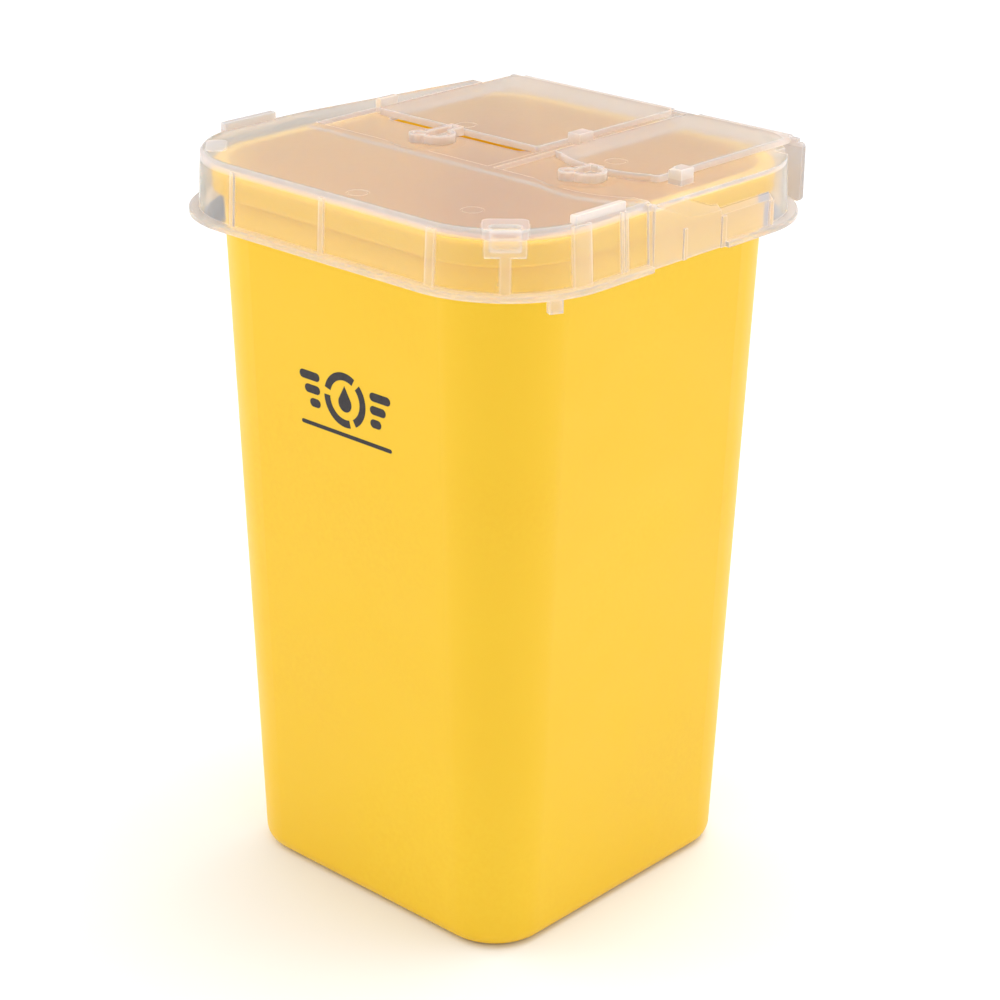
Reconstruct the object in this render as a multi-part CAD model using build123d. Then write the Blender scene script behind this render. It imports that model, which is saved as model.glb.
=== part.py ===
"""A square one litre sharps bin: a tapered tub, a press-on lid and two hinged flaps over its drop openings.

Millimetres. The origin is the centre of the base, +Z is up, -Y is the front and +X the right.
"""

from build123d import *
import os
from math import radians, tan

# Tub
BASE_SIDE = 80.0
BASE_CORNER = 13.0
BASE_EDGE_FILLET = 3.6
TUB_DRAFT = 2.03  # degrees that each wall leans outwards
TUB_WALL = 1.6
FLOOR_THICKNESS = 2.0
FOOT_RING_WIDTH = 9.0
FOOT_RECESS = 0.6
RIM_TOP = 160.2
RIM_TOP_PLATE = 1.4
LIP_HALF = 47.6
LIP_CORNER = 20.4
LIP_BOTTOM = 155.2
LIP_WALL = 1.2
LIP_FILLET = 1.1

# Lid shell
LID_BOTTOM = 150.0
DECK_TOP = 163.5
DECK_PLATE = 1.3
LID_WIDTH = 101.8  # along X at the bottom of the skirt
LID_DEPTH = 100.2  # along Y at the bottom of the skirt
LID_CORNER = 22.8
LID_DRAFT = 3.0
LID_WALL = 1.2
DECK_EDGE_FILLET = 1.1
FLANGE_WIDTH = 106.0
FLANGE_DEPTH = 104.0
FLANGE_CORNER = 24.7
FLANGE_THICKNESS = 1.2
FLANGE_EDGE_FILLET = 0.5
HANGING_TAB_ANGLE = -23.7  # round the front right corner, from +X
HANGING_TAB_RADII = (22.9, 24.5)
HANGING_TAB_HALF_WIDTH = 1.4
HANGING_TAB_BOTTOM = 147.3

# Tray that the flaps lie in, open to the right
TRAY_FLOOR = 162.5
TRAY_PLATE = 1.1
TRAY_WALL = 1.2
TRAY_LEFT = -40.5
TRAY_FRONT = -12.6
TRAY_BULGE_START = 25.0
TRAY_BULGE = (36.0, -14.0)
TRAY_EXIT = (46.0, -9.6)
TRAY_RUNOUT_Y = -7.6  # of the front edge, well past the deck's side
DIVIDER_X = 10.7
DIVIDER_WIDTH = 1.7
DIVIDER_TOP = 163.5
SCOOP_DEPTH = 0.45
SCOOP_RADIUS = 6.2
SCOOP_PLACE = (1.2, -3.6)  # along X from the tab's middle, and along Y

# Lower shoulders at the back of the deck: along the left edge and behind the tray's open side
SHOULDER_TOP = 161.5
SHOULDER_UNDERSIDE = 160.5
SHOULDER_LEFT_FRONT = (-50.3, -16.8)
SHOULDER_LEFT_BACK = (-43.4, 39.5)
SHOULDER_RIGHT_CORNER = (42.2, 41.0)

# Flaps
FLAP_TOP = 164.1
FLAP_BOTTOM = 162.65
FLAP_PLATE = 0.9
FLAP_RIM_WIDTH = 1.3
FLAP_FRONT = 3.9
FLAP_BACK = 48.6
FLAP_CORNER = 1.2
FLAP_EDGE_FILLET = 0.3
SMALL_FLAP_BULGE = 3.2  # how far the small flap's front edge bows out
LARGE_FLAP_SPAN = (-38.6, 8.6)
SMALL_FLAP_SPAN = (12.9, 40.9)

# Drop openings under the flaps
OPENING_INSET = 3.0
OPENING_FRONT = 2.9
OPENING_BACK = 44.0
OPENING_CORNER = 3.0

# Finger tabs at the front of the flaps: a neck, a round pad and a small lobe; places run from a tab's middle
# along X, and along Y
LARGE_TAB_X = -14.4
SMALL_TAB_X = 27.6
TAB_NECK_SPAN = (-1.7, 1.9)
TAB_PAD_PLACE = (1.6, -3.5)
TAB_PAD_RADIUS = 3.6
TAB_LOBE_PLACE = (-1.6, -6.4)
TAB_LOBE_RADIUS = 2.0
TAB_TOP = 164.6
TAB_LIP = 0.9
TAB_DISH = 0.75  # below the flap's top
TAB_ROOT = 2.0  # how far a tab's neck reaches into its flap

# Hinge line along the back
HINGE_LAND_TOP = 163.3
HINGE_LAND_FRONT = 49.9
HINGE_FILM = 0.4
HINGE_MARGIN = 1.5  # from a flap's corner to the end of its film
HINGE_SETBACK = 0.2  # from the back plate's back face to the film
HINGE_LAND_HALF = 41.2
BACK_PLATE_HALF = 42.8
BACK_PLATE_BACK = 51.0
BACK_PLATE_TOP = 162.5
BACK_PLATE_BOTTOM = 149.8
BACK_PLATE_CORNER = 1.0
BACK_ROOT_HALF = 32.0  # half width of the web that joins the plate to the skirt
BACK_ROOT_FRONT = 48.95
BACK_ROOT_TOP = 162.4

# Details on the skirt and the deck
FRONT_RIBS = ((-26.1, 1.1), (0.0, 1.3), (29.7, 2.1))  # place along X, width
RIB_PROUD = 0.5
RIB_TOP = 163.2  # of the ribs on the right
BAR_SPAN = (-31.4, -17.0)
BAR_TOP = 165.2
BAR_THICKNESS = 1.6
PILASTER_SPAN = (-32.2, -27.6)
PILASTER_PROUD = 0.6
SIDE_RIBS = ((-18.4, 0.7), (-17.1, 0.7), (-10.2, 1.0))
SKIRT_ROOT = 44.0  # inside the skirt, where its ribs start
FLANGE_GAP = (-11.0, 12.4)
TOP_FILLET = 0.35  # round the tops of the bars and posts
CATCH_TOP = 165.8
CATCH_POSTS = (((-40.4, 5.2), (-38.9, 10.6)), ((9.2, 12.7), (12.4, 17.2)), ((42.0, 5.8), (45.3, 9.8)))
EJECTOR_RADIUS = 2.3
EJECTOR_LINE = 0.3
EJECTOR_DEPTH = 0.06
DECK_EJECTORS = ((29.5, -38.0), (5.4, -45.0))
FLAP_EJECTOR_Y = 6.7

# Clip panel on the right of the skirt; its top edge as (y, z) where it leaves the skirt and at its outer face
CLIP_FRONT = -9.7
CLIP_BACK = 28.2
CLIP_ROOT = 49.8
CLIP_OUTER = 51.6
CLIP_STEP = 0.1  # from the deck's edge to where the panel's slope starts
CLIP_INNER_TOP = ((-9.0, 162.5), (0.8, 162.5), (9.0, 159.3), (11.3, 158.9), (11.4, 158.2))
CLIP_OUTER_TOP = ((-9.0, 162.5), (0.8, 158.4), (9.0, 157.8), (11.3, 157.7), (11.4, 156.7))
CLIP_RIBS = ((-0.3, 1.0), (12.0, 1.4), (27.6, 1.2))
CLIP_RIB_PROUD = 0.4
CLIP_RIB_TOP = 156.5

# Slotted pocket on the front right corner and the low pad that answers it on the left; spans run out from the
# centre of the deck's corner arc
POCKET_TURN = 43.0  # from the front towards the side
LOOP_SPAN = (16.5, 24.2)
LOOP_HALF_WIDTH = 4.5
LOOP_CORNER = 1.6
LOOP_PROUD = 0.6
POCKET_SPAN = (20.0, 23.6)
POCKET_HALF_WIDTH = 4.0
POCKET_BOTTOM = 158.4
POST_HALF_WIDTH = 1.0
SLOT_SPAN = (20.4, 23.2)
SLOT_HALF_WIDTH = 3.1
SLOT_BOTTOM = 159.4
SLOT_CORNER = 1.0
PAD_OUTER = 20.8
PAD_PROUD = 0.15

LEAN = tan(radians(LID_DRAFT))
LID_HEIGHT = DECK_TOP - LID_BOTTOM
DECK_HALF_X = LID_WIDTH / 2 - LID_HEIGHT * LEAN
DECK_HALF_Y = LID_DEPTH / 2 - LID_HEIGHT * LEAN
DECK_CORNER = LID_CORNER - LID_HEIGHT * LEAN
FAR = 80.0  # past every side face of the lid
SKY = 180.0  # above every part


def rounded_prism(width, depth, corner, bottom, top, draft=0.0):
    """Rounded rectangle grown from bottom to top; a positive draft narrows it upwards."""
    outline = Pos(0, 0, bottom) * RectangleRounded(width, depth, corner)
    return extrude(outline, top - bottom, taper=draft)


def box_between(low, high):
    """Box from its lowest to its highest corner."""
    size = [b - a for a, b in zip(low, high)]
    middle = [(a + b) / 2 for a, b in zip(low, high)]
    return Pos(*middle) * Box(*size)


def edges_at(solid, height):
    """Edges that lie flat at one height."""
    return solid.edges().filter_by_position(Axis.Z, height - 0.001, height + 0.001)


# ---------------------------------------------------------------- tub


def tub_block(inset, bottom, top):
    """The tub's leaning outline, moved inwards by inset, between two heights."""
    grown = bottom * tan(radians(TUB_DRAFT)) - inset
    side = BASE_SIDE + 2 * grown
    return rounded_prism(side, side, BASE_CORNER + grown, bottom, top, -TUB_DRAFT)


def tub_rim():
    """Rounded turned-down lip, and the space behind it cut out."""
    side = 2 * LIP_HALF
    lip = rounded_prism(side, side, LIP_CORNER, LIP_BOTTOM, RIM_TOP)
    lip = fillet(edges_at(lip, RIM_TOP) + edges_at(lip, LIP_BOTTOM), LIP_FILLET)
    gap_side = side - 2 * LIP_WALL
    return lip - rounded_prism(gap_side, gap_side, LIP_CORNER - LIP_WALL, LIP_BOTTOM, RIM_TOP - RIM_TOP_PLATE)


def container_body():
    outer = tub_block(0, 0, RIM_TOP)
    outer = fillet(edges_at(outer, 0), BASE_EDGE_FILLET)
    hollow = tub_block(TUB_WALL, FLOOR_THICKNESS, RIM_TOP)
    hollow = fillet(edges_at(hollow, FLOOR_THICKNESS), BASE_EDGE_FILLET - TUB_WALL)
    recess_side = BASE_SIDE - 2 * FOOT_RING_WIDTH
    recess = rounded_prism(recess_side, recess_side, BASE_CORNER / 2, 0, FOOT_RECESS)
    return outer + tub_rim() - hollow - recess


# ---------------------------------------------------------------- lid


def lid_block(inset, bottom, top):
    """The lid's outline, narrowing upwards, moved inwards by inset, between two heights."""
    shrink = inset + (bottom - LID_BOTTOM) * LEAN
    corner = LID_CORNER - shrink
    return rounded_prism(LID_WIDTH - 2 * shrink, LID_DEPTH - 2 * shrink, corner, bottom, top, LID_DRAFT)


def flange():
    """Ledge round the bottom of the skirt, left out under the clip panel."""
    ring = rounded_prism(
        FLANGE_WIDTH, FLANGE_DEPTH, FLANGE_CORNER, LID_BOTTOM, LID_BOTTOM + FLANGE_THICKNESS
    )
    ring = fillet(edges_at(ring, LID_BOTTOM + FLANGE_THICKNESS), FLANGE_EDGE_FILLET)
    gap_front, gap_back = FLANGE_GAP
    low = (LID_WIDTH / 2, gap_front, LID_BOTTOM - FLANGE_THICKNESS)
    gap = box_between(low, (FAR, gap_back, LID_BOTTOM + 2 * FLANGE_THICKNESS))
    return ring - gap


def hanging_tab():
    """Small tab under the flange, near the front right corner."""
    corner = Pos(FLANGE_WIDTH / 2 - FLANGE_CORNER, FLANGE_CORNER - FLANGE_DEPTH / 2, 0)
    inner, outer = HANGING_TAB_RADII
    low = (inner, -HANGING_TAB_HALF_WIDTH, HANGING_TAB_BOTTOM)
    high = (outer, HANGING_TAB_HALF_WIDTH, LID_BOTTOM + FLANGE_THICKNESS / 2)
    return corner * Rot(0, 0, HANGING_TAB_ANGLE) * box_between(low, high)


def tray_outline():
    """Plan of the tray: square at the left, bulging forward at the right, and open at the deck's side."""
    front = Line((TRAY_LEFT, TRAY_FRONT), (TRAY_BULGE_START, TRAY_FRONT))
    bulge = ThreePointArc(front @ 1, TRAY_BULGE, TRAY_EXIT)
    rest = Polyline(bulge @ 1, (FAR, TRAY_RUNOUT_Y), (FAR, FAR), (TRAY_LEFT, FAR), (TRAY_LEFT, TRAY_FRONT))
    return make_face(Wire([front, bulge, *rest.edges()]))


def tray(deck_block):
    """Floor plate and walls under the deck, and the space to cut above the floor."""
    plan = tray_outline()
    bottom = TRAY_FLOOR - TRAY_PLATE
    walled = offset(plan, TRAY_WALL, kind=Kind.INTERSECTION)
    plate = extrude(Pos(0, 0, bottom) * walled, DECK_TOP - DECK_PLATE / 2 - bottom) & deck_block
    space = extrude(Pos(0, 0, TRAY_FLOOR) * plan, SKY - TRAY_FLOOR)
    return plate, space


def drop_opening(span):
    """Cut for the opening under a flap."""
    left, right = span[0] + OPENING_INSET, span[1] - OPENING_INSET
    centre = Pos((left + right) / 2, (OPENING_FRONT + OPENING_BACK) / 2, LID_BOTTOM)
    outline = RectangleRounded(right - left, OPENING_BACK - OPENING_FRONT, OPENING_CORNER)
    return extrude(centre * outline, SKY - LID_BOTTOM)


def finger_scoop(tab_x):
    """Ball that cuts a shallow dish in the tray floor under a finger tab."""
    ball_radius = (SCOOP_RADIUS**2 + SCOOP_DEPTH**2) / (2 * SCOOP_DEPTH)
    shift, centre_y = SCOOP_PLACE
    return Pos(tab_x + shift, centre_y, TRAY_FLOOR - SCOOP_DEPTH + ball_radius) * Sphere(ball_radius)


def divider():
    """Rib between the two flaps, from the tray's front wall to the hinge land."""
    left, right = DIVIDER_X - DIVIDER_WIDTH / 2, DIVIDER_X + DIVIDER_WIDTH / 2
    low = (left, TRAY_FRONT - TRAY_WALL / 2, TRAY_FLOOR - TRAY_PLATE / 2)
    return box_between(low, (right, HINGE_LAND_FRONT - TRAY_WALL, DIVIDER_TOP))


def catch_posts():
    """Posts that hold the flaps' front corners and the gap between the flaps."""
    posts = []
    for low, high in CATCH_POSTS:
        post = box_between((*low, TRAY_FLOOR - TRAY_PLATE / 2), (*high, CATCH_TOP))
        posts.append(fillet(edges_at(post, CATCH_TOP), TOP_FILLET))
    return posts


def back_plate():
    """Flat wall across the back, wider than the straight part of the skirt, that carries the hinge line."""
    low = (-BACK_PLATE_HALF, HINGE_LAND_FRONT, BACK_PLATE_BOTTOM)
    plate = box_between(low, (BACK_PLATE_HALF, BACK_PLATE_BACK, BACK_PLATE_TOP))
    plate = fillet(plate.edges().filter_by(Axis.Y), BACK_PLATE_CORNER)
    low = (-HINGE_LAND_HALF, HINGE_LAND_FRONT, BACK_PLATE_TOP - BACK_PLATE_CORNER)
    land = box_between(low, (HINGE_LAND_HALF, BACK_PLATE_BACK, HINGE_LAND_TOP))
    low = (-BACK_ROOT_HALF, BACK_ROOT_FRONT, BACK_PLATE_BOTTOM)
    root = box_between(low, (BACK_ROOT_HALF, (HINGE_LAND_FRONT + BACK_PLATE_BACK) / 2, BACK_ROOT_TOP))
    return plate + land + root


def shoulder_plans():
    """Plans of the lower shoulders: beside the tray on the left, and behind its open side on the right."""
    left_back_x, left_back_y = SHOULDER_LEFT_BACK
    left = Polyline(
        SHOULDER_LEFT_FRONT,
        SHOULDER_LEFT_BACK,
        (TRAY_LEFT, left_back_y),
        (TRAY_LEFT, HINGE_LAND_FRONT),
        (-FAR, HINGE_LAND_FRONT),
        (-FAR, SHOULDER_LEFT_FRONT[1]),
        close=True,
    )
    right_x, right_y = SHOULDER_RIGHT_CORNER
    right = Rectangle(FAR - right_x, HINGE_LAND_FRONT - right_y, align=Align.MIN)
    return [make_face(left), Pos(right_x, right_y) * right]


def front_ribs():
    """Upright ribs on the front of the skirt."""
    face_y = -LID_DEPTH / 2
    ribs = []
    for x, width in FRONT_RIBS:
        low = (x - width / 2, face_y - RIB_PROUD, LID_BOTTOM)
        rib = box_between(low, (x + width / 2, -SKIRT_ROOT, DECK_TOP))
        ribs.append(rib & lid_block(-RIB_PROUD, LID_BOTTOM, DECK_TOP - DECK_EDGE_FILLET))
    return ribs


def side_bars():
    """Bars that stand on the deck's left and right edges, near the front."""
    bars = []
    front, back = BAR_SPAN
    for side in (-1, 1):
        outer, inner = side * DECK_HALF_X, side * (DECK_HALF_X - BAR_THICKNESS)
        low, high = min(outer, inner), max(outer, inner)
        bar = box_between((low, front, DECK_TOP - 2 * DECK_EDGE_FILLET), (high, back, BAR_TOP))
        bars.append(fillet(edges_at(bar, BAR_TOP), TOP_FILLET))
    return bars


def right_side_ribs():
    """Pilaster and ribs on the right of the skirt, between the corner and the clip panel."""
    front, back = PILASTER_SPAN
    blocks = [(front, back, PILASTER_PROUD)]
    blocks += [(y - width / 2, y + width / 2, RIB_PROUD) for y, width in SIDE_RIBS]
    ribs = []
    for low_y, high_y, proud in blocks:
        rib = box_between((SKIRT_ROOT, low_y, LID_BOTTOM), (FAR, high_y, DECK_TOP))
        ribs.append(rib & lid_block(-proud, LID_BOTTOM, RIB_TOP))
    return ribs


def clip_panel():
    """Raised panel on the right of the skirt: full height at its front, ramping down to a low shoulder."""

    def profile(x, top):
        corners = [(CLIP_FRONT, LID_BOTTOM), (CLIP_FRONT, RIB_TOP), *top]
        corners += [(CLIP_BACK, top[-1][1]), (CLIP_BACK, LID_BOTTOM)]
        return make_face(Polyline(*[(x, y, z) for y, z in corners], close=True))

    edge_x = DECK_HALF_X + CLIP_STEP
    rooted = extrude(profile(CLIP_ROOT, CLIP_INNER_TOP), edge_x - CLIP_ROOT, dir=(1, 0, 0))
    raised = loft([profile(edge_x, CLIP_INNER_TOP), profile(CLIP_OUTER, CLIP_OUTER_TOP)], ruled=True)
    ribs = []
    for y, width in CLIP_RIBS:
        low = (CLIP_ROOT, y - width / 2, LID_BOTTOM)
        ribs.append(box_between(low, (CLIP_OUTER + CLIP_RIB_PROUD, y + width / 2, CLIP_RIB_TOP)))
    return [rooted + raised, *ribs]


def corner_block(side, span, half_width, low, high, corner=0.0):
    """Upright block across a front corner of the lid; its span runs out from the deck's corner arc centre."""
    centre = Pos(side * (DECK_HALF_X - DECK_CORNER), DECK_CORNER - DECK_HALF_Y, 0)
    block = box_between((span[0], -half_width, low), (span[1], half_width, high))
    if corner:
        block = fillet(block.edges().filter_by(Axis.Z), corner)
    return centre * Rot(0, 0, -90 + side * POCKET_TURN) * block


def corner_pocket():
    """Boss on the front right corner: a loop on the deck, a box under it and a post, with the slot to cut."""
    deck_underside = DECK_TOP - DECK_PLATE
    loop = corner_block(1, LOOP_SPAN, LOOP_HALF_WIDTH, deck_underside, DECK_TOP + LOOP_PROUD, LOOP_CORNER)
    box = corner_block(1, POCKET_SPAN, POCKET_HALF_WIDTH, POCKET_BOTTOM, deck_underside)
    post = corner_block(1, POCKET_SPAN, POST_HALF_WIDTH, LID_BOTTOM, POCKET_BOTTOM)
    slot = corner_block(1, SLOT_SPAN, SLOT_HALF_WIDTH, SLOT_BOTTOM, SKY, SLOT_CORNER)
    return [loop, box, post], slot


def corner_pad():
    """Low pad on the front left corner of the deck."""
    span = (LOOP_SPAN[0], PAD_OUTER)
    return corner_block(-1, span, LOOP_HALF_WIDTH, DECK_TOP - DECK_PLATE, DECK_TOP + PAD_PROUD, LOOP_CORNER)


def ejector_mark(x, y, top):
    """Shallow ring left by an ejector pin."""
    disc = Cylinder(EJECTOR_RADIUS, 2 * EJECTOR_DEPTH)
    disc -= Cylinder(EJECTOR_RADIUS - EJECTOR_LINE, 2 * EJECTOR_DEPTH)
    return Pos(x, y, top) * disc


def lid():
    body = lid_block(0, LID_BOTTOM, DECK_TOP)
    body = fillet(edges_at(body, DECK_TOP), DECK_EDGE_FILLET)
    pocket, slot = corner_pocket()
    outside = [flange(), hanging_tab(), *front_ribs(), *side_bars(), *right_side_ribs(), *clip_panel()]
    for piece in (*outside, *pocket, corner_pad()):
        body += piece
    shoulders = shoulder_plans()
    hollow = lid_block(LID_WALL, LID_BOTTOM, DECK_TOP - DECK_PLATE)
    for plan in shoulders:
        hollow -= extrude(Pos(0, 0, SHOULDER_UNDERSIDE) * plan, SKY - SHOULDER_UNDERSIDE)
    body -= hollow
    plate, space = tray(lid_block(LID_WALL / 2, LID_BOTTOM, DECK_TOP - DECK_PLATE / 2))
    body += plate
    body -= space
    for plan in shoulders:
        body -= extrude(Pos(0, 0, SHOULDER_TOP) * plan, SKY - SHOULDER_TOP)
    for piece in (back_plate(), divider(), *catch_posts()):
        body += piece
    cuts = [slot, drop_opening(LARGE_FLAP_SPAN), drop_opening(SMALL_FLAP_SPAN)]
    cuts += [finger_scoop(x) for x in (LARGE_TAB_X, SMALL_TAB_X)]
    cuts += [ejector_mark(x, y, DECK_TOP) for x, y in DECK_EJECTORS]
    for cut in cuts:
        body -= cut
    return body


# ---------------------------------------------------------------- flaps


def flap_plan(span, bulge):
    """Plan of a flap without its tab; its front edge bows out by bulge."""
    left, right = span
    middle = (left + right) / 2
    plan = RectangleRounded(right - left, FLAP_BACK - FLAP_FRONT, FLAP_CORNER)
    plan = Pos(middle, (FLAP_FRONT + FLAP_BACK) / 2) * plan
    if bulge:
        root = FLAP_FRONT + FLAP_CORNER
        bow = ThreePointArc((left, root), (middle, FLAP_FRONT - bulge), (right, root))
        plan += make_face(Wire([bow, Line((right, root), (left, root))]))
    return plan


def tab_plan(tab_x):
    """Plan of a finger tab, with its neck reaching into the flap."""
    neck_left, neck_right = TAB_NECK_SPAN
    pad_x, pad_y = TAB_PAD_PLACE
    lobe_x, lobe_y = TAB_LOBE_PLACE
    neck = Rectangle(neck_right - neck_left, FLAP_FRONT + TAB_ROOT - pad_y, align=Align.MIN)
    pad = Pos(tab_x + pad_x, pad_y) * Circle(TAB_PAD_RADIUS)
    lobe = Pos(tab_x + lobe_x, lobe_y) * Circle(TAB_LOBE_RADIUS)
    return Pos(tab_x + neck_left, pad_y) * neck + pad + lobe


def ahead_of(y):
    """Plan of everything in front of a place along Y."""
    return Pos(0, y - FAR / 2) * Rectangle(2 * FAR, FAR)


def flap(span, tab_x, bulge=0.0):
    """Flat plate with a turned-down edge, and a dished finger tab that stands a little higher."""
    plan = flap_plan(span, bulge)
    tab = tab_plan(tab_x)
    front = FLAP_FRONT - bulge
    body = extrude(Pos(0, 0, FLAP_BOTTOM) * plan, FLAP_TOP - FLAP_BOTTOM)
    body = fillet(edges_at(body, FLAP_TOP), FLAP_EDGE_FILLET)
    body += extrude(Pos(0, 0, FLAP_BOTTOM) * tab, FLAP_TOP - FLAP_BOTTOM)
    inside = offset(plan, -FLAP_RIM_WIDTH, kind=Kind.INTERSECTION)
    body -= extrude(Pos(0, 0, FLAP_BOTTOM) * inside, FLAP_TOP - FLAP_PLATE - FLAP_BOTTOM)
    body += extrude(Pos(0, 0, FLAP_BOTTOM) * (tab & ahead_of(front)), TAB_TOP - FLAP_BOTTOM)
    dish = offset(tab, -TAB_LIP) & ahead_of(front - TAB_LIP)
    body -= extrude(Pos(0, 0, FLAP_TOP - TAB_DISH) * dish, SKY - FLAP_TOP)
    return body - ejector_mark(tab_x, FLAP_EJECTOR_Y, FLAP_TOP)


def hinge_film(span):
    """Thin web from a flap's back edge to the top of the back plate."""
    left, right = span[0] + HINGE_MARGIN, span[1] - HINGE_MARGIN
    high = (right, BACK_PLATE_BACK - HINGE_SETBACK, HINGE_LAND_TOP + HINGE_FILM)
    return box_between((left, FLAP_BACK, HINGE_LAND_TOP), high)


parts = {
    "container_body": container_body(),
    "lid": lid(),
    "large_flap": flap(LARGE_FLAP_SPAN, LARGE_TAB_X),
    "small_flap": flap(SMALL_FLAP_SPAN, SMALL_TAB_X, SMALL_FLAP_BULGE),
    "large_flap_hinge": hinge_film(LARGE_FLAP_SPAN),
    "small_flap_hinge": hinge_film(SMALL_FLAP_SPAN),
}
os.makedirs("parts", exist_ok=True)
for name, solid in parts.items():
    export_step(solid, f"parts/{name}.step")
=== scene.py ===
"""Looks of a square sharps bin: yellow tub, frosted see-through lid and flaps, film hinges, printed mark."""

from math import cos, radians, sin

import bmesh
import bpy
from mathutils import Matrix, Vector


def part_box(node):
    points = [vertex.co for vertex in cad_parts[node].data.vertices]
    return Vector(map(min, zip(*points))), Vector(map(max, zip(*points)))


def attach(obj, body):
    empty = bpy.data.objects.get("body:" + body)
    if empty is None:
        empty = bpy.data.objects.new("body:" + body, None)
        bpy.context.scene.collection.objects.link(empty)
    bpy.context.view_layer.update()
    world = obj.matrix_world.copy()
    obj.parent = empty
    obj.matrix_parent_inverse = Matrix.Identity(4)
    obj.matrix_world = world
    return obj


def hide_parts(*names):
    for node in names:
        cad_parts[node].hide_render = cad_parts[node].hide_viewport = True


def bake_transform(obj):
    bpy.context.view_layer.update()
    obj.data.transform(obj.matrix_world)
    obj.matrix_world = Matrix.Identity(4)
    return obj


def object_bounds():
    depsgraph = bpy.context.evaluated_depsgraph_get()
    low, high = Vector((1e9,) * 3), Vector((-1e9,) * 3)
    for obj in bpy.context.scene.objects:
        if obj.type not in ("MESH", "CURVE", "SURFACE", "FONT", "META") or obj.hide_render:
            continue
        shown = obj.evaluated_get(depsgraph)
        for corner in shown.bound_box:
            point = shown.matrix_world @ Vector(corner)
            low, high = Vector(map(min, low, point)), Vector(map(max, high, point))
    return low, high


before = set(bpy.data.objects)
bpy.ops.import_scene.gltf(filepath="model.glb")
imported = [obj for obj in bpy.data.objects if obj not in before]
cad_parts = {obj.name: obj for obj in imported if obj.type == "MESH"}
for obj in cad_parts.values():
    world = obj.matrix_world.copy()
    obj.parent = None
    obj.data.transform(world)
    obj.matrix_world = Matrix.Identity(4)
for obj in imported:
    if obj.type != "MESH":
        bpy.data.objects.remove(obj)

MM = 0.001

# Camera, fitted to the photograph's perspective
CAMERA_AZIMUTH = 42.53
CAMERA_ELEVATION = 22.71
CAMERA_ROLL = 0.59
CAMERA_DISTANCE = 0.5667
CAMERA_TARGET = Vector((-0.0006, 0.0035, 0.0821))
CAMERA_LENS = 91.9

# Light tent: bright all round, dimmer where the camera looks in
TENT_BRIGHT = 1.12
TENT_DIM = 0.62
TENT_COLOUR = (1.0, 0.995, 0.985)
BACKDROP_MIRRORED = 0.40  # the tent as the clear plastic shows and mirrors it
PAINTED_BACKDROP_GLOW = (0.27, 0.50)  # painted glow: the floor seen through the clear plastic is an emission, at these strengths at the view's left and right
BACKDROP_REACH = 0.12  # how far left and right of the bin the painted glow keeps brightening
BACKDROP_TINT = (0.86, 0.92, 1.12)
FLOOR_SIZE = 8.0
FLOOR_COLOURS = ((0.90, 0.90, 0.90), (0.93, 0.93, 0.93))
SOFTBOXES = {  # place, size and power
    "left_softbox": ((-0.9, -0.5, 0.9), 0.8, 3.0),
    "top_softbox": ((0.2, 0.5, 1.4), 1.0, 8.0),
}
SOFTBOX_AIM = (0.0, 0.0, 0.1)

# Colours, linear
YELLOW = (0.90, 0.560, 0.013)
YELLOW_PALE = (0.915, 0.585, 0.017)
YELLOW_DEEP = (0.885, 0.532, 0.011)
FROST = (0.98, 0.90, 0.82)
FROST_EDGE = (0.84, 0.75, 0.73)
FROST_RAISED = (0.94, 0.88, 0.88)
FROST_PASSED = (0.985, 0.98, 0.97)
INK = (0.012, 0.008, 0.010)
INK_PALE = tuple(1.8 * value for value in INK)

# Plastics
YELLOW_ROUGHNESS = (0.36, 0.46)
YELLOW_IOR = 1.42
INK_ROUGHNESS = (0.42, 0.58)
FROST_ROUGHNESS = (0.09, 0.14)
FROST_CLEARNESS = (0.92, 0.78)  # face on, edge on
FROST_IOR = 1.17
EDGE_HAZE_REACH = 0.7 * MM
EDGE_CLEARNESS = 0.60
WALL_CLEARNESS = 0.64
THICK_CLEARNESS = 0.80
EDGE_SOFTNESS = 0.14 * MM
EDGE_ANGLE = 35.0

# Outline of the lid's skirt, to tell its thick details from its thin wall
SKIRT_HALF = (50.9 * MM, 50.1 * MM)  # at the bottom
SKIRT_CORNER = 22.8 * MM
SKIRT_BOTTOM = 150.0 * MM
SKIRT_LEAN = 0.0524
DECK_TOP = 163.5 * MM
DECK_WALLS = 161.3 * MM  # upright faces above this are walls round the deck and the flaps
FLAP_TOP = 164.1 * MM

# Hinge films
FILM_STEPS = 18
FILM_GROOVE = 0.16 * MM
FILM_GROOVE_WIDTH = 0.45 * MM
FILM_GROOVE_PLACE = 0.3  # of the way from the flap to the lid

# Printed mark on the tub's front face, in mm: a split ring round a drop, bars at its sides and a rule below
MARK_CENTRE = (0.0, 118.6)  # x, z
RING_RADII = (6.0, 4.3)
RING_STARTS = (-60, 60, 180)  # degrees
RING_SWEEP = 104
DROP_CENTRE = (0.0, -0.7)
DROP_RADIUS = 1.9
DROP_SWEEP = (-215, 35)
DROP_TIP = (0.0, 3.1)
BAR_START = 7.3
BAR_ENDS = ((13.2, 2.9), (11.8, 0.0), (10.4, -2.9))  # reach, height
BAR_HALF_HEIGHT = 0.95
RULE = (-13.2, 13.2, -8.2, -7.3)  # left, right, bottom, top
INK_PROUD = 0.04 * MM
INK_SUNK = 0.03 * MM

cad_low, cad_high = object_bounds()


# ---------------------------------------------------------------- node helpers


def new_material(name):
    """Empty node material with its output node."""
    material = bpy.data.materials.new(name)
    material.use_nodes = True
    material.node_tree.nodes.clear()
    output = material.node_tree.nodes.new("ShaderNodeOutputMaterial")
    return material, material.node_tree, output


def add(tree, kind, **inputs):
    """New node with the given input values; an input that is a socket is linked."""
    node = tree.nodes.new(kind)
    for name, value in inputs.items():
        set_input(tree, node, name.replace("_", " "), value)
    return node


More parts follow.
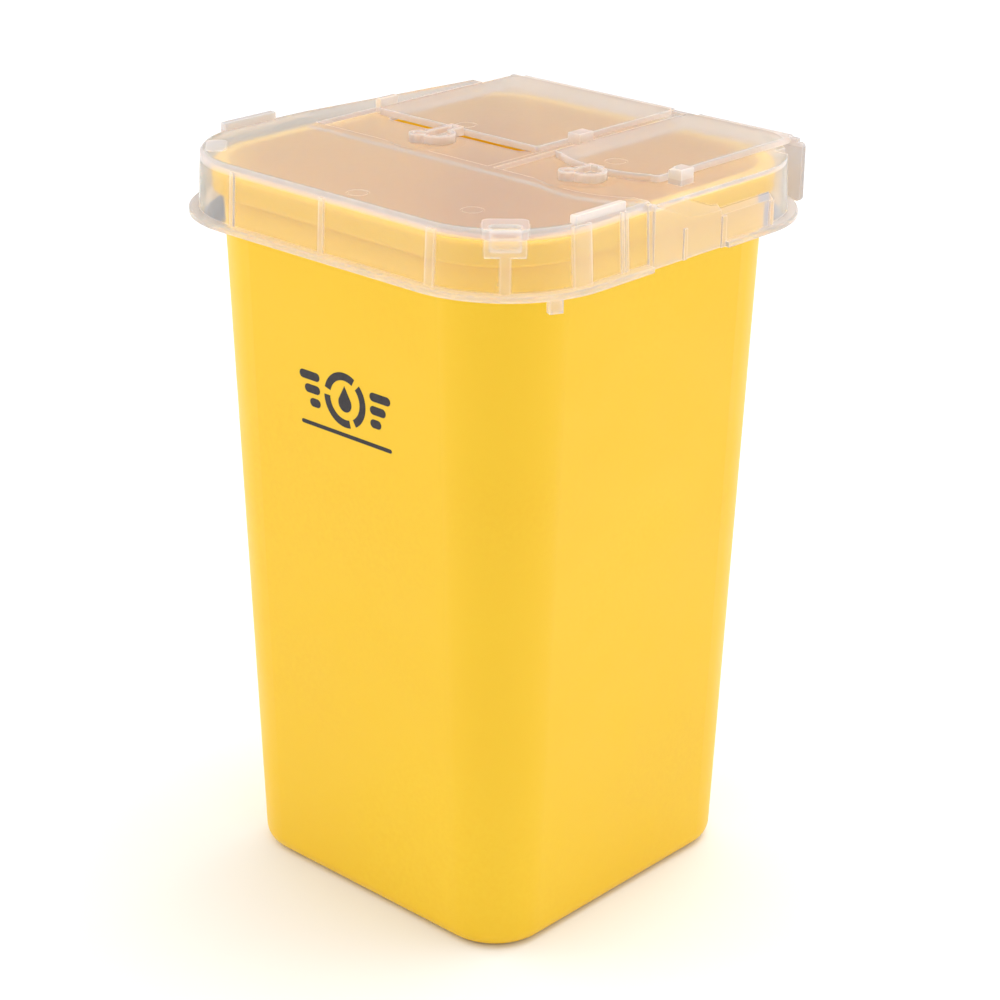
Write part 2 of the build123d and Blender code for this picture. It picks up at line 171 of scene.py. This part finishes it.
def set_input(tree, node, name, value):
    """Sets an input by name or number, or links it when the value is a socket."""
    socket = node.inputs[int(name)] if name.isdigit() else node.inputs[name]
    if isinstance(value, bpy.types.NodeSocket):
        tree.links.new(value, socket)
    elif isinstance(value, tuple) and len(value) == 3 and socket.type == "RGBA":
        socket.default_value = (*value, 1.0)
    else:
        socket.default_value = value


def noise(tree, scale, detail=2.0):
    """Noise in object space; its scale is in cycles per metre."""
    place = add(tree, "ShaderNodeTexCoord").outputs["Object"]
    return add(tree, "ShaderNodeTexNoise", Vector=place, Scale=scale, Detail=detail).outputs["Fac"]


def remap(tree, value, low, high, to_low, to_high):
    """Value moved from one range to another, clamped."""
    node = add(tree, "ShaderNodeMapRange", Value=value)
    for name, number in (("From Min", low), ("From Max", high), ("To Min", to_low), ("To Max", to_high)):
        node.inputs[name].default_value = number
    return node.outputs["Result"]


def noise_between(tree, scale, detail, low, high):
    """Noise spread over a range."""
    return remap(tree, noise(tree, scale, detail), 0.3, 0.7, low, high)


def blend_colours(tree, factor, first, second):
    """Mix of two colours, each a colour or a socket."""
    node = tree.nodes.new("ShaderNodeMix")
    node.data_type = "RGBA"
    tree.links.new(factor, node.inputs["Factor"])
    for socket, colour in ((node.inputs[6], first), (node.inputs[7], second)):
        if isinstance(colour, bpy.types.NodeSocket):
            tree.links.new(colour, socket)
        else:
            socket.default_value = (*colour, 1.0)
    return node.outputs[2]


def math_node(tree, operation, first, second):
    """Arithmetic on two values, each a number or a socket."""
    node = tree.nodes.new("ShaderNodeMath")
    node.operation = operation
    set_input(tree, node, "0", first)
    set_input(tree, node, "1", second)
    return node.outputs["Value"]


def dot_product(tree, first, second):
    """Dot product of a socket and a vector, which may be a socket too."""
    node = tree.nodes.new("ShaderNodeVectorMath")
    node.operation = "DOT_PRODUCT"
    set_input(tree, node, "0", first)
    set_input(tree, node, "1", second)
    return node.outputs["Value"]


def separate(tree, vector):
    """The three numbers of a vector."""
    node = tree.nodes.new("ShaderNodeSeparateXYZ")
    tree.links.new(vector, node.inputs["Vector"])
    return [node.outputs[axis] for axis in "XYZ"]


def mix_shaders(tree, factor, first, second):
    """First shader where the factor is 0, second where it is 1."""
    node = tree.nodes.new("ShaderNodeMixShader")
    for number, value in enumerate((factor, first, second)):
        set_input(tree, node, str(number), value)
    return node.outputs["Shader"]


# ---------------------------------------------------------------- materials


def yellow_plastic():
    """Satin yellow polypropylene with a fine moulded grain and faint flow shading."""
    material, tree, output = new_material("yellow_polypropylene")
    flow = remap(tree, noise(tree, 14.0, 3.0), 0.35, 0.65, 0.0, 1.0)
    speckle = noise_between(tree, 900.0, 2.0, 0.0, 1.0)
    colour = blend_colours(tree, flow, YELLOW_DEEP, YELLOW_PALE)
    speckled = blend_colours(tree, speckle, colour, YELLOW)
    rough = noise_between(tree, 60.0, 3.0, *YELLOW_ROUGHNESS)
    grain = add(tree, "ShaderNodeBump", Height=noise(tree, 2600.0, 3.0), Strength=0.10, Distance=0.0001)
    shader = add(tree, "ShaderNodeBsdfPrincipled", Base_Color=speckled, Roughness=rough)
    tree.links.new(grain.outputs["Normal"], shader.inputs["Normal"])
    shader.inputs["IOR"].default_value = YELLOW_IOR
    shader.inputs["Subsurface Weight"].default_value = 0.12
    shader.inputs["Subsurface Scale"].default_value = 0.002
    shader.inputs["Subsurface Radius"].default_value = (1.0, 0.5, 0.1)
    tree.links.new(shader.outputs["BSDF"], output.inputs["Surface"])
    return material


def edge_mask(tree, radius):
    """1 along the piece's sharp edges, 0 on its flat faces."""
    rounded = tree.nodes.new("ShaderNodeBevel")
    rounded.samples = 4
    rounded.inputs["Radius"].default_value = radius
    flat = add(tree, "ShaderNodeNewGeometry").outputs["True Normal"]
    return remap(tree, dot_product(tree, rounded.outputs["Normal"], flat), 0.80, 0.99, 1.0, 0.0)


def skirt_distance(tree, x, y, z):
    """How far a place stands outside the lid's leaning skirt."""
    overhangs = []
    for across, half in ((x, SKIRT_HALF[0]), (y, SKIRT_HALF[1])):
        past = math_node(tree, "SUBTRACT", math_node(tree, "ABSOLUTE", across, 0.0), half - SKIRT_CORNER)
        past = math_node(tree, "MAXIMUM", past, 0.0)
        overhangs.append(math_node(tree, "MULTIPLY", past, past))
    reach = math_node(tree, "SQRT", math_node(tree, "ADD", *overhangs), 0.0)
    climb = math_node(tree, "MULTIPLY", math_node(tree, "SUBTRACT", z, SKIRT_BOTTOM), SKIRT_LEAN)
    return math_node(tree, "ADD", math_node(tree, "SUBTRACT", reach, SKIRT_CORNER), climb)


def thick_clearness(tree, raised):
    """Less clear on raised details and those proud of the skirt, least on upright walls near the deck."""
    coordinates = tree.nodes.new("ShaderNodeTexCoord")
    x, y, z = separate(tree, coordinates.outputs["Object"])
    outside = remap(tree, skirt_distance(tree, x, y, z), 0.10 * MM, 0.25 * MM, 1.0, THICK_CLEARNESS)
    above = remap(tree, raised, 0.0, 1.0, 1.0, THICK_CLEARNESS)
    tilt = math_node(tree, "ABSOLUTE", separate(tree, coordinates.outputs["Normal"])[2], 0.0)
    upright = remap(tree, tilt, 0.90, 0.995, 1.0, 0.0)
    near_deck = remap(tree, z, DECK_WALLS, DECK_WALLS + 0.5 * MM, 0.0, 1.0)
    walls = remap(tree, math_node(tree, "MULTIPLY", upright, near_deck), 0.0, 1.0, 1.0, WALL_CLEARNESS)
    return math_node(tree, "MINIMUM", math_node(tree, "MINIMUM", outside, above), walls)


def frosted_plastic(name, top):
    """Natural polypropylene: blurs what is behind it and lets light through to the tub.

    It is hazier along its edges, where it is thick and on details raised above top.
    """
    material, tree, output = new_material(name)
    height = separate(tree, add(tree, "ShaderNodeTexCoord").outputs["Object"])[2]
    raised = remap(tree, height, top + 0.05 * MM, top + 0.15 * MM, 0.0, 1.0)
    rough = noise_between(tree, 45.0, 3.0, *FROST_ROUGHNESS)
    grazing = add(tree, "ShaderNodeLayerWeight", Blend=0.35).outputs["Facing"]
    face_clearness = remap(tree, grazing, 0.0, 1.0, *FROST_CLEARNESS)
    edges = edge_mask(tree, EDGE_HAZE_REACH)
    edge_loss = remap(tree, edges, 0.0, 1.0, 1.0, EDGE_CLEARNESS)
    loss = math_node(tree, "MINIMUM", edge_loss, thick_clearness(tree, raised))
    clearness = math_node(tree, "MULTIPLY", face_clearness, loss)
    haze = remap(tree, loss, WALL_CLEARNESS, 1.0, 1.0, 0.0)
    colour = blend_colours(tree, raised, blend_colours(tree, haze, FROST, FROST_EDGE), FROST_RAISED)
    ripple = add(tree, "ShaderNodeBump", Height=noise(tree, 420.0, 2.0), Strength=0.12, Distance=0.0002)
    shader = add(tree, "ShaderNodeBsdfPrincipled", Base_Color=colour, Roughness=rough)
    tree.links.new(clearness, shader.inputs["Transmission Weight"])
    tree.links.new(ripple.outputs["Normal"], shader.inputs["Normal"])
    shader.inputs["IOR"].default_value = FROST_IOR
    shader.inputs["Subsurface Weight"].default_value = 1.0
    shader.inputs["Subsurface Scale"].default_value = 0.003
    shader.inputs["Subsurface Radius"].default_value = (1.0, 0.9, 0.8)
    path = add(tree, "ShaderNodeLightPath")
    lighting = math_node(tree, "MAXIMUM", path.outputs["Is Shadow Ray"], path.outputs["Is Diffuse Ray"])
    passed = add(tree, "ShaderNodeBsdfTransparent", Color=FROST_PASSED)
    surface = mix_shaders(tree, lighting, shader.outputs["BSDF"], passed.outputs["BSDF"])
    tree.links.new(surface, output.inputs["Surface"])
    return material


def printed_ink():
    """Matt black pad-printing ink, slightly uneven."""
    material, tree, output = new_material("black_ink")
    colour = blend_colours(tree, noise_between(tree, 700.0, 3.0, 0.0, 1.0), INK, INK_PALE)
    rough = noise_between(tree, 1500.0, 2.0, *INK_ROUGHNESS)
    shader = add(tree, "ShaderNodeBsdfPrincipled", Base_Color=colour, Roughness=rough)
    tree.links.new(shader.outputs["BSDF"], output.inputs["Surface"])
    return material


def pale_floor():
    """Pale matt floor; seen through clear plastic it is a painted glow instead, dim and cool, more so
    towards the view's left.
    """
    material, tree, output = new_material("pale_floor")
    colour = blend_colours(tree, noise_between(tree, 3.0, 2.0, 0.985, 1.0), *FLOOR_COLOURS)
    shader = add(tree, "ShaderNodeBsdfPrincipled", Base_Color=colour, Roughness=0.7)
    shader.inputs["Specular IOR Level"].default_value = 0.1
    azimuth = radians(CAMERA_AZIMUTH)
    place = add(tree, "ShaderNodeTexCoord").outputs["Object"]
    across = dot_product(tree, place, (cos(azimuth), sin(azimuth), 0))
    strength = remap(tree, across, -BACKDROP_REACH, BACKDROP_REACH, *PAINTED_BACKDROP_GLOW)
    # painted glow: for rays through the clear plastic the floor is an emission that stands in for a dim
    # backdrop
    through = add(tree, "ShaderNodeEmission", Color=BACKDROP_TINT, Strength=strength)
    seen = add(tree, "ShaderNodeLightPath").outputs["Is Transmission Ray"]
    surface = mix_shaders(tree, seen, shader.outputs["BSDF"], through.outputs["Emission"])
    tree.links.new(surface, output.inputs["Surface"])
    return material


# ---------------------------------------------------------------- CAD nodes


def soften_edges(node):
    """Joins the mesh's split corners and rounds its sharp edges, as a moulding has them."""
    weld = node.modifiers.new("weld", "WELD")
    weld.merge_threshold = 1e-6
    bevel = node.modifiers.new("bevel", "BEVEL")
    bevel.width = EDGE_SOFTNESS
    bevel.segments = 2
    bevel.limit_method = "ANGLE"
    bevel.angle_limit = radians(EDGE_ANGLE)
    bevel.harden_normals = True


def dress(name, material):
    """Gives a CAD node its material and softened edges."""
    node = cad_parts[name]
    for slot in node.material_slots:
        slot.material = material
    soften_edges(node)


# ---------------------------------------------------------------- hinge films


def hinge_film(name, material):
    """Living hinge with a groove across it, between the lid and a flap."""
    low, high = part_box(name)
    groove_y = low.y + (high.y - low.y) * FILM_GROOVE_PLACE
    mesh = bmesh.new()
    rings = []
    for step in range(FILM_STEPS + 1):
        y = low.y + (high.y - low.y) * step / FILM_STEPS
        near = max(0.0, 1.0 - abs(y - groove_y) / FILM_GROOVE_WIDTH)
        groove = FILM_GROOVE * near * near * (3 - 2 * near)
        corners = ((low.x, low.z), (high.x, low.z), (high.x, high.z - groove), (low.x, high.z - groove))
        rings.append([mesh.verts.new((x, y, z)) for x, z in corners])
    for first, second in zip(rings, rings[1:]):
        for side in range(4):
            ahead = (side + 1) % 4
            mesh.faces.new((first[side], first[ahead], second[ahead], second[side]))
    mesh.faces.new(rings[0][::-1])
    mesh.faces.new(rings[-1])
    bmesh.ops.recalc_face_normals(mesh, faces=mesh.faces)
    film = mesh_object(name + "_film", mesh, material)
    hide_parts(name)
    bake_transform(film)


def mesh_object(name, mesh, material):
    """Object made from a bmesh, with one material."""
    data = bpy.data.meshes.new(name)
    mesh.to_mesh(data)
    mesh.free()
    data.materials.append(material)
    item = bpy.data.objects.new(name, data)
    bpy.context.scene.collection.objects.link(item)
    return item


# ---------------------------------------------------------------- printed mark


def arc(centre, radius, start, end, steps=12):
    """Points on an arc, angles in degrees."""
    angles = [radians(start + (end - start) * step / steps) for step in range(steps + 1)]
    return [(centre[0] + radius * cos(angle), centre[1] + radius * sin(angle)) for angle in angles]


def bar_outline(left, right, bottom, top):
    """Bar with round ends."""
    radius = (top - bottom) / 2
    middle = (bottom + top) / 2
    return arc((right - radius, middle), radius, -90, 90) + arc((left + radius, middle), radius, 90, 270)


def mark_outlines():
    """Outlines of the emblem's pieces."""
    outer, inner = RING_RADII
    outlines = []
    for start in RING_STARTS:
        end = start + RING_SWEEP
        outlines.append(arc((0, 0), outer, start, end, 20) + arc((0, 0), inner, end, start, 20))
    outlines.append(arc(DROP_CENTRE, DROP_RADIUS, *DROP_SWEEP, 24) + [DROP_TIP])
    for side in (-1, 1):
        for reach, height in BAR_ENDS:
            ends = sorted((side * BAR_START, side * reach))
            outlines.append(bar_outline(*ends, height - BAR_HALF_HEIGHT, height + BAR_HALF_HEIGHT))
    outlines.append(bar_outline(*RULE))
    return outlines


def printed_mark(material):
    """The emblem as thin ink on the tub's leaning front face."""
    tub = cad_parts["container_body"]
    mesh = bmesh.new()
    for outline in mark_outlines():
        outer, inner = [], []
        for x, z in outline:
            start = Vector(((MARK_CENTRE[0] + x) * MM, cad_low.y - 0.01, (MARK_CENTRE[1] + z) * MM))
            _, place, normal, _ = tub.ray_cast(start, Vector((0, 1, 0)))
            outer.append(mesh.verts.new(place + normal * INK_PROUD))
            inner.append(mesh.verts.new(place - normal * INK_SUNK))
        mesh.faces.new(outer)
        mesh.faces.new(inner[::-1])
        for index in range(len(outer)):
            ahead = (index + 1) % len(outer)
            mesh.faces.new((outer[index], inner[index], inner[ahead], outer[ahead]))
    bmesh.ops.triangulate(mesh, faces=[face for face in mesh.faces if len(face.verts) > 4])
    bmesh.ops.recalc_face_normals(mesh, faces=mesh.faces)
    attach(mesh_object("printed_mark", mesh, material), "container")


# ---------------------------------------------------------------- studio


def floor():
    """Wide flat floor under the bin."""
    mesh = bmesh.new()
    bmesh.ops.create_grid(mesh, x_segments=8, y_segments=8, size=FLOOR_SIZE / 2)
    ground = mesh_object("floor", mesh, pale_floor())
    ground.location.z = cad_low.z


def light_tent():
    """World light: bright from all sides, dimmer around the camera."""
    world = bpy.data.worlds.new("tent")
    bpy.context.scene.world = world
    world.use_nodes = True
    tree = world.node_tree
    tree.nodes.clear()
    azimuth = radians(CAMERA_AZIMUTH)
    direction = add(tree, "ShaderNodeTexCoord").outputs["Generated"]
    facing = dot_product(tree, direction, (sin(azimuth), -cos(azimuth), 0.15))
    strength = remap(tree, facing, 0.35, 1.0, TENT_BRIGHT, TENT_DIM)
    path = add(tree, "ShaderNodeLightPath")
    seen = math_node(tree, "MAXIMUM", path.outputs["Is Transmission Ray"], path.outputs["Is Glossy Ray"])
    drop = remap(tree, seen, 0.0, 1.0, 1.0, BACKDROP_MIRRORED / TENT_BRIGHT)
    strength = math_node(tree, "MULTIPLY", strength, drop)
    colour = blend_colours(tree, seen, TENT_COLOUR, BACKDROP_TINT)
    background = add(tree, "ShaderNodeBackground", Color=colour, Strength=strength)
    output = tree.nodes.new("ShaderNodeOutputWorld")
    tree.links.new(background.outputs["Background"], output.inputs["Surface"])


def softbox(name, place, size, power):
    """Square area light aimed at the bin."""
    data = bpy.data.lights.new(name, "AREA")
    data.size = size
    data.energy = power
    lamp = bpy.data.objects.new(name, data)
    lamp.location = place
    lamp.rotation_mode = "QUATERNION"
    lamp.rotation_quaternion = (Vector(SOFTBOX_AIM) - Vector(place)).to_track_quat("-Z", "Y")
    bpy.context.scene.collection.objects.link(lamp)


def camera():
    """Camera on the photograph's line of sight."""
    azimuth, elevation, roll = (radians(angle) for angle in (CAMERA_AZIMUTH, CAMERA_ELEVATION, CAMERA_ROLL))
    back = Vector((sin(azimuth) * cos(elevation), -cos(azimuth) * cos(elevation), sin(elevation)))
    level = Vector((cos(azimuth), sin(azimuth), 0))
    above = back.cross(level)
    right = level * cos(roll) + above * sin(roll)
    up = above * cos(roll) - level * sin(roll)
    data = bpy.data.cameras.new("camera")
    data.lens = CAMERA_LENS
    data.sensor_width = 36.0
    item = bpy.data.objects.new("camera", data)
    turn = Matrix((right, up, back)).transposed().to_4x4()
    item.matrix_world = Matrix.Translation(CAMERA_TARGET + back * CAMERA_DISTANCE) @ turn
    bpy.context.scene.collection.objects.link(item)
    bpy.context.scene.camera = item


yellow = yellow_plastic()
frosted_lid = frosted_plastic("frosted_lid", DECK_TOP)
frosted_flap = frosted_plastic("frosted_flap", FLAP_TOP)
dress("container_body", yellow)
dress("lid", frosted_lid)
for flap in ("large_flap", "small_flap"):
    dress(flap, frosted_flap)
    hinge_film(flap + "_hinge", frosted_flap)
printed_mark(printed_ink())
floor()
light_tent()
for lamp_name, settings in SOFTBOXES.items():
    softbox(lamp_name, *settings)
camera()
bpy.context.scene.view_settings.view_transform = "Standard"
